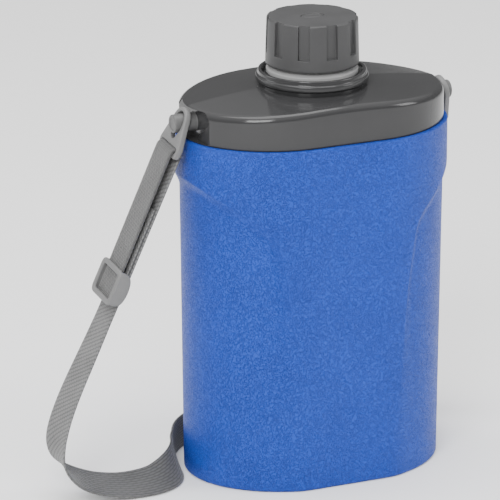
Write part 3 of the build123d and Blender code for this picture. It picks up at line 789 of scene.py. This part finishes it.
strap_main, strap_back, strap_tail, strap_sewn, strap_seam, strap_points = build_strap()
slider_pieces = build_slider()
ring_left = build_ring("strap_ring_eye_left", LEFT_ORIGIN, LEFT_BAR, LEFT_DOWN, "strap_ring_left")
ring_right = build_ring("strap_ring_eye_right", RIGHT_ORIGIN, RIGHT_BAR, RIGHT_DOWN,
                        "strap_ring_right")
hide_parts("slider_buckle")
for piece in slider_pieces:
    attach(piece, "slider")
for piece in (strap_main, strap_sewn, strap_seam, ring_left, ring_right):
    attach(piece, "strap")
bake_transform(strap_back)


# ---- body
def plan_point(run, length_less=0.0, depth_less=0.0):
    """Point of the right half's plan, run mm round from the end, positive towards the front."""
    reach = abs(run)
    flat = FLAT - length_less + depth_less
    if reach <= END_RUN:
        angle = reach / END_R
        x = flat + 0.8 * SPREAD + (END_R - depth_less) * cos(angle)
        y = (END_R - depth_less) * sin(angle)
    elif reach <= END_RUN + CORNER_RUN:
        angle = JOIN_ANGLE + (reach - END_RUN) / CORNER_R
        x = flat + (CORNER_R - depth_less) * cos(angle)
        y = (CORNER_R - depth_less) * sin(angle) - 0.6 * SPREAD
    else:
        x = flat * (FULL_RUN - reach) / FLAT
        y = HALF_DEPTH - depth_less
    return Vector((x, -y if run > 0 else y, 0))


def run_at(x):
    """How far round from the end the plan reaches this x."""
    if x >= FLAT + 0.8 * CORNER_R:
        return END_R * acos(min(1.0, (x - FLAT - 0.8 * SPREAD) / END_R))
    return END_RUN + CORNER_R * (acos((x - FLAT) / CORNER_R) - JOIN_ANGLE)


def skin(run, z, recess, inset=0.0):
    """A point of the shell's outside; recess goes from 0 on the outer face to 1 in the recess."""
    part = (z + 6.0) / (BODY_HEIGHT + 12.0)
    less = [foot + (head - foot) * part for foot, head in zip(RECESS_FOOT_LESS, RECESS_HEAD_LESS)]
    outer = plan_point(run, inset, inset)
    inner = plan_point(run, less[0] + inset, less[1] + inset)
    place = outer.lerp(inner, recess)
    place.z = z
    return place


ARCH_ROWS = 250
CORNER_ROW = 170                   # the row that runs to the top corner of the front's middle line
BAND_OFFSETS = (-12, -7, -4, -2.2, -1.2, -0.6, -0.2, 0.2, 0.6, 1.1, 1.7, 2.5, 3.4, 4.4, 5.4, 6.4,
                8, 10, 12.5, 16, 20, 24)
OUTER_STEPS = 22
INNER_STEPS = 24
OUTSIDE, INSIDE = -99, 99          # offsets of points that are well clear of the arch's edge


def recess_share(offset, z):
    """How much of the recess's depth is reached this far inside the arch's edge."""
    if offset == OUTSIDE:
        return 0.0
    start, over = BAND_NARROWS
    width = BAND_AT_HEAD + (BAND_AT_FOOT - BAND_AT_HEAD) * (1 - smooth((z - start) / over))
    softened = (offset + sqrt(offset * offset + 0.35)) / 2 - 0.05
    part = min(max(softened / width, 0.0), 1.0)
    return 1 - (1 - part) ** BAND_CURVE


def arch_rows():
    """Rows of (run, z, offset inside the arch's edge), from the foot to the apex.

    Each row goes from the front's middle line to the back's.
    """
    low, high = BASE_EDGE, BODY_HEIGHT - RIM_EDGE
    edge = evenly(rounded(ARCH, closed=False, steps=16), 600)
    edge = evenly([Vector((run_at(p.x), p.y)) for p in edge], ARCH_ROWS)
    rows = []
    for j, here in enumerate(edge):
        if j <= CORNER_ROW:
            border = Vector((FULL_RUN, low + (high - low) * j / CORNER_ROW))
        else:
            border = Vector((FULL_RUN * (ARCH_ROWS - j) / (ARCH_ROWS - CORNER_ROW), high))
        before, after = edge[max(j - 1, 0)], edge[min(j + 1, ARCH_ROWS)]
        tangent = (after - before).normalized()
        level = smooth((here.y - low) / 40.0)
        inward = Vector((-tangent.y, tangent.x * level))
        if j == ARCH_ROWS:
            inward = Vector((0, -1))
        inward.normalize()
        first = here + inward * BAND_OFFSETS[0]
        front = [(*border.lerp(first, k / OUTER_STEPS), OUTSIDE) for k in range(OUTER_STEPS)]
        front += [(*(here + inward * offset), offset) for offset in BAND_OFFSETS]
        last_run, last_z = front[-1][0], front[-1][1]
        middle = [(last_run * (1 - 2 * k / INNER_STEPS), last_z, INSIDE)
                  for k in range(1, INNER_STEPS)]
        back = [(-run, z, offset) for run, z, offset in reversed(front)]
        rows.append(front + middle + back)
    return rows


def mirrored(points):
    return [Vector((-p.x, p.y, p.z)) for p in points]


def ring_inside(outline, radius):
    """For each point of a plan outline, the point of a round hole that lies towards it."""
    return [Vector((p.x / HALF_LENGTH, p.y / HALF_DEPTH, 0)).normalized() * radius for p in outline]


def build_shell():
    """The right half's strips and their mirror images, joined where they meet."""
    cells = arch_rows()
    rows = [[skin(run, z, recess_share(offset, z)) for run, z, offset in row] for row in cells]
    points, faces = grid(rows)

    def add(strip):
        more, joined = grid(strip)
        faces.extend(tuple(i + len(points) for i in face) for face in joined)
        points.extend(more)

    add([mirrored(row) for row in rows])
    # bottom edge, underside, wall of the filling hole, inner floor and inner wall
    foot = cells[0]
    strip = []
    for k in range(9):
        turn = pi / 2 * k / 8
        inset, z = BASE_EDGE * (1 - cos(turn)), BASE_EDGE * (1 - sin(turn))
        strip.append([skin(run, z, recess_share(offset, BASE_EDGE), inset)
                      for run, _, offset in foot])
    outline = strip[-1]
    hole = ring_inside(outline, FILL_HOLE_R)
    for share in (0.97, 0.85, 0.65, 0.45, 0.25, 0.1, 0.0):
        strip.append([h.lerp(p, share) for h, p in zip(hole, outline)])
    floor = [skin(run, INNER_FLOOR, 1.0, INNER_WALL) for run, _, _ in foot]
    raised = Vector((0, 0, INNER_FLOOR))
    for share in (0.0, 0.3, 0.97):
        strip.append([(h + raised).lerp(p, share) for h, p in zip(hole, floor)])
    for z in (INNER_FLOOR + 1.5, 60.0, 120.0, 180.0, 236.0):
        strip.append([skin(run, z, 1.0, INNER_WALL) for run, _, _ in foot])
    add(strip)
    add([mirrored(row) for row in strip])
    # top rim, the ledge under the cover, and a lip whose open edge is bridged to the inner wall's
    top = [row[0][0] for row in cells[CORNER_ROW:]]
    top += [-run for run in reversed(top[:-1])]
    strip = []
    for k in range(7):
        turn = pi / 2 * k / 6
        inset, z = RIM_EDGE * (1 - cos(turn)), BODY_HEIGHT - RIM_EDGE * (1 - sin(turn))
        strip.append([skin(run, z, 0.0, inset) for run in top])
    for inset, z in ((2.0, 255.0), (3.2, 254.9), (3.6, 254.4), (3.6, 246.0)):
        strip.append([skin(run, z, 0.0, inset) for run in top])
    add(strip)
    add([mirrored(row) for row in strip])
    shell = mesh_piece("body_shell", points, faces, BLUE, merge=True, bridge=True)
    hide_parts("outer_shell")
    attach(shell, "jug")


# ---- shoulder cover
def roof_height(x, y):
    """The ridged roof: an arc along X that falls away on both sides of the ridge."""
    rise = COVER_CREST - COVER_END
    radius = (HALF_LENGTH ** 2 + rise ** 2) / (2 * rise)
    crest = COVER_CREST - radius + sqrt(radius * radius - x * x)
    return crest - COVER_FALL * (sqrt(y * y + RIDGE_ROUND ** 2) - RIDGE_ROUND)


def cover_runs():
    """Runs of the plan's points, close together at the ends of the ridge."""
    runs = [FULL_RUN * (1 - k / 110) for k in range(110)]
    runs = [r for r in runs if r > 1.5] + [1.2, 0.7, 0.3, 0.0]
    return runs + [-r for r in reversed(runs[:-1])]


def build_cover():
    """Skirt, rounded edge and roof, closed underneath round the neck's hole."""
    runs = cover_runs()
    rows = []

    def loop(inset, height):
        half = []
        for run in runs:
            p = plan_point(run, COVER_INSET + inset, COVER_INSET + inset)
            half.append(Vector((p.x, p.y, height(p))))
        return half + mirrored(reversed(half))

    for inset, z in ((3.5, COVER_BOTTOM), (0.9, COVER_BOTTOM), (0.5, 254.6), (0.15, 255.0),
                     (0.0, 255.5), (0.0, 256.5), (0.0, 259.0), (0.0, 263.0), (0.0, 268.0)):
        rows.append(loop(inset, lambda p, z=z: z))
    for k in range(13):
        turn = pi / 2 * k / 12
        drop = COVER_EDGE * (1 - sin(turn))
        inset = COVER_EDGE * (1 - cos(turn))
        rows.append(loop(inset, lambda p, drop=drop: roof_height(p.x, p.y) - drop))
    brow = rows[-1]
    ring = ring_inside(brow, COVER_HOLE_R)
    roof_rows = 30
    for k in range(1, roof_rows + 1):
        places = [p.lerp(q, k / roof_rows) for p, q in zip(brow, ring)]
        rows.append([Vector((p.x, p.y, roof_height(p.x, p.y))) for p in places])
    rows.append([Vector((q.x, q.y, COVER_BOTTOM)) for q in ring])
    rows.append(rows[0])
    points, faces = grid(rows, around=True)
    cover = mesh_piece("cover_moulding", points, faces, GLOSS, merge=True)
    for side in (-1, 1):
        cut_end_flat(cover, side)
    cover.data.set_sharp_from_angle(angle=radians(32))
    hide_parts("shoulder_cover")
    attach(cover, "jug")


def cut_end_flat(cover, side):
    """Cuts the flat that a strap stud stands on."""
    outline = rounded([(-END_FLAT_HALF, END_FLAT_BOTTOM, 0), (END_FLAT_HALF, END_FLAT_BOTTOM, 0),
                       (END_FLAT_HALF, END_FLAT_TOP, END_FLAT_CORNER),
                       (-END_FLAT_HALF, END_FLAT_TOP, END_FLAT_CORNER)], steps=12)
    beyond = 130
    near = [Vector((side * END_FLAT_X, y, z)) * MM for y, z in outline]
    far = [Vector((side * beyond, y, z)) * MM for y, z in outline]
    count = len(outline)
    faces = [tuple(range(count)), tuple(reversed(range(count, 2 * count)))]
    faces += [(k, (k + 1) % count, (k + 1) % count + count, k + count) for k in range(count)]
    mesh = bpy.data.meshes.new("end_flat_cutter")
    mesh.from_pydata(near + far, [], faces)
    clean(mesh)
    cutter = link("end_flat_cutter", mesh, [GLOSS])
    cut = cover.modifiers.new("end_flat", "BOOLEAN")
    cut.operation = "DIFFERENCE"
    cut.solver = "EXACT"
    cut.object = cutter
    graph = bpy.context.evaluated_depsgraph_get()
    result = bpy.data.meshes.new_from_object(cover.evaluated_get(graph))
    cover.modifiers.clear()
    cover.data = result
    bpy.data.objects.remove(cutter)


# ---- neck and cap
def build_collar():
    """Round rim with an open channel, a bead round its foot and a skirt into the cover."""
    profile = rounded([
        (25.4, 280, 0), (25.4, CHANNEL_FLOOR, 0.3), (35.2, CHANNEL_FLOOR, 2.2),
        (36.4, COLLAR_TOP, 0.8), (38.8, COLLAR_TOP, 0.9), (39.0, 292.2, 1.6), (40.4, 291.6, 0.9),
        (40.6, 288.2, 1.0), (39.2, 287.0, 1.0), (38.6, 277, 0)], steps=5)
    collar = lathe("collar_ring", profile, GLOSS, 192)
    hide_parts("neck_collar")
    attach(collar, "jug")


def build_neck_band():
    profile = rounded([(25.05, 290.1, 0), (29.6, 290.1, 0), (29.6, 293.0, 0.4), (33.0, 293.0, 0.8),
                       (33.0, 296.4, 1.0), (28.8, 298.6, 0.8), (25.05, 298.6, 0)], steps=5)
    band = lathe("neck_band_ring", profile, BAND_GREY, 192)
    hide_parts("neck_band")
    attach(band, "jug")


def cap_angles():
    """Angles round the cap, each with its nearest notch's; they are close at the notches' edges."""
    half = (0, 1.1, 2.3, 3.4, 3.75, 3.9, 4.05, 4.2, 4.4, 4.9)
    across = [-x for x in reversed(half[1:])] + list(half)
    gap = 2 * pi / NOTCHES
    reach = asin(5.0 / CAP_TOP_R)
    angles = []
    for k in range(NOTCHES):
        middle = k * gap - pi / 2
        angles += [(middle + asin(a / CAP_TOP_R), middle) for a in across]
        between_notches = [reach + (gap - 2 * reach) * i / 8 for i in range(1, 8)]
        angles += [(middle + a, middle if a < gap / 2 else middle + gap) for a in between_notches]
    return angles


def cap_profile():
    """(radius, height) from under the cap's roof, round the rim, to near the badge's groove."""
    inner = [(0.0, CAP_ROOF), (30.0, CAP_ROOF), (CAP_INNER_R, 330.9), (CAP_INNER_R, 318.0),
             (CAP_INNER_R, 306.0), (CAP_INNER_R, 300.6), (30.7, 300.15), (31.2, CAP_BOTTOM),
             (33.1, CAP_BOTTOM), (33.45, 300.15), (33.65, 300.5)]
    slope = (CAP_TOP_R - CAP_BOTTOM_R) / (CAP_TOP - CAP_BOTTOM)
    heights = (302, 304, 306, 307.6, 308.3, 308.6, 308.8, 309.0, 309.2, 309.4, 309.8,
               311, 314, 318, 322, 326, 330, 332)
    side = [(CAP_BOTTOM_R + slope * (z - CAP_BOTTOM), z) for z in heights]
    edge = [(CAP_TOP_R - CAP_EDGE + CAP_EDGE * cos(a), CAP_TOP - CAP_EDGE + CAP_EDGE * sin(a))
            for a in (0.25, 0.5, 0.8, 1.1, 1.35, pi / 2)]
    top = [(r, CAP_TOP) for r in (31.0, 30.85, 30.75, 30.4, 29.6, 27.0, 23.0, 18.0, 13.0)]
    return inner + side + edge + top


def badge_oval(grow, z, turns):
    """The badge's outline, this much larger, at height z."""
    half_x, half_y = BADGE_HALF[0] + grow, BADGE_HALF[1] + grow
    return [Vector((half_x * cos(a), half_y * sin(a), z)) for a in turns]


def build_cap():
    """The cap with its grip notches pressed in and a groove for the badge in its top."""
    angles = cap_angles()
    inside_r = CAP_INNER_R + 0.1
    rows = []
    for radius, z in cap_profile():
        row = []
        for angle, middle in angles:
            axis = Vector((cos(middle), sin(middle), 0))
            place = Vector((radius * cos(angle), radius * sin(angle), z))
            across = abs(radius * sin(angle - middle))
            share = smooth((NOTCH_HALF + 0.25 - across) / 0.5)
            share *= smooth((z - NOTCH_END_Z + 0.3) / 0.6)
            if radius > inside_r:
                place -= axis * (share * max(0.0, place.dot(axis) - NOTCH_FLOOR))
            row.append(place)
        rows.append(row)
    rim = rows[-1]
    turns = [atan2(p.y, p.x) for p in rim]
    for grow, z in ((1.5, CAP_TOP), (0.55, CAP_TOP), (0.4, CAP_TOP - 0.1), (0.35, CAP_TOP - 0.35),
                    (0.3, BADGE_WELL)):
        rows.append(badge_oval(grow, z, turns))
    rows.append([Vector((0, 0, BADGE_WELL))] * len(rim))
    points, faces = grid(rows, around=True)
    cap = mesh_piece("cap_moulding", points, faces, CAP_GREY, merge=True)
    cap.data.set_sharp_from_angle(angle=radians(62))
    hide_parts("cap_shell")
    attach(cap, "cap")


def build_badge():
    """Plain oval plate in a narrow groove, with a raised oval line on it."""
    sides = 96
    angles = [2 * pi * k / sides for k in range(sides)]
    rows = [[Vector((0, 0, CAP_TOP - 1.0))] * sides]
    for grow, rise in ((0.0, -0.85), (0.0, -0.25), (-0.1, -0.08), (-0.35, 0.0), (-1.2, 0.0),
                       (-1.35, 0.16), (-1.6, 0.2), (-1.85, 0.16), (-2.0, 0.0), (-3.4, 0.0),
                       (-4.6, 0.0), (-5.4, 0.0)):
        rows.append(badge_oval(grow, BADGE_FACE + rise, angles))
    rows.append([Vector((0, 0, BADGE_FACE))] * sides)
    points, faces = grid(rows, around=True)
    badge = mesh_piece("cap_oval_plate", points, faces, CAP_GREY, merge=True)
    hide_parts("cap_badge")
    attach(badge, "cap")


# ---- studs
def build_stud(side, word):
    """Round stud with a shallow dish in its end."""
    out = STUD_END_X - END_FLAT_X
    profile = rounded([(0, -6, 0), (4.0, -6, 0), (4.0, -0.3, 0), (7.2, -0.3, 0), (7.1, 0.3, 0.3),
                       (STUD_R, 0.5, 0.4), (STUD_R, out, 0.9), (4.6, out, 0.6),
                       (4.0, out - 0.5, 0.6), (0, out - 0.55, 0)], steps=5)
    stud = lathe("strap_pin_" + word, profile, STUD_GREY, 96)
    turn = Matrix.Rotation(side * pi / 2, 4, "Y")
    stud.data.transform(Matrix.Translation(Vector((side * END_FLAT_X, 0, STUD_Z)) * MM) @ turn)
    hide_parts("strap_stud_" + word)
    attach(stud, "jug")


# ---- carried-over CAD nodes
def paint(node, material):
    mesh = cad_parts[node].data
    mesh.materials.clear()
    mesh.materials.append(material)


build_shell()
build_cover()
build_collar()
build_neck_band()
build_cap()
build_badge()
build_stud(-1, "left")
build_stud(1, "right")
for node, material in {
        "fill_plug": BLUE, "insulation_foam": FOAM, "cap_foam": FOAM, "inner_liner": LINER_WHITE,
        "cap_core": LINER_WHITE, "cover_seal": SEAL_BLACK, "cap_gasket": SEAL_BLACK,
        "stud_nut_left": MID_GREY, "stud_nut_right": MID_GREY}.items():
    paint(node, material)


# ---- stage
FLOOR_HALF = 20000                 # mm


def build_floor():
    points = [(x * FLOOR_HALF, y * FLOOR_HALF, 0) for x, y in SQUARE]
    s = Surface("floor_white", (0.92, 0.92, 0.92), 0.9)
    s.tint(s.noise(9.0, 3.0), (0.91, 0.91, 0.91), (0.93, 0.93, 0.93))
    mesh_piece("floor", points, [(0, 1, 2, 3)], s.material)


# soft lamps: place and size in metres, and watts
LIGHTS = {
    "key": ((-1.3, -1.5, 1.5), (1.0, 1.2), 52),
    "fill": ((1.9, -1.2, 1.25), (0.9, 1.2), 25),
    "top": ((0.0, 0.1, 2.3), (1.8, 1.4), 40),
    "back": ((-1.9, 1.4, 1.2), (1.2, 1.0), 20)}
LIGHT_AIM = Vector((0, 0, 0.17))


def add_light(name, place, size, watts):
    lamp = bpy.data.lights.new(name, "AREA")
    lamp.shape = "RECTANGLE"
    lamp.size, lamp.size_y = size
    lamp.energy = watts
    made = bpy.data.objects.new(name, lamp)
    made.location = place
    made.rotation_euler = (Vector(place) - LIGHT_AIM).to_track_quat("Z", "Y").to_euler()
    made.visible_camera = False
    bpy.context.collection.objects.link(made)


def build_lights():
    """The lamps and a white sky that is brighter overhead than near the horizon."""
    for name, (place, size, watts) in LIGHTS.items():
        add_light(name, place, size, watts)
    world = bpy.data.worlds.new("studio")
    world.use_nodes = True
    nodes, links = world.node_tree.nodes, world.node_tree.links
    up = nodes.new("ShaderNodeSeparateXYZ")
    links.new(nodes.new("ShaderNodeTexCoord").outputs["Generated"], up.inputs[0])
    rise = nodes.new("ShaderNodeMapRange")
    links.new(up.outputs["Z"], rise.inputs["Value"])
    for key, value in (("From Min", 0.36), ("From Max", 0.8), ("To Min", 0.2), ("To Max", 1.35)):
        rise.inputs[key].default_value = value
    links.new(rise.outputs["Result"], nodes["Background"].inputs["Strength"])
    nodes["Background"].inputs["Color"].default_value = (1, 1, 1, 1)
    bpy.context.scene.world = world


build_floor()
build_lights()
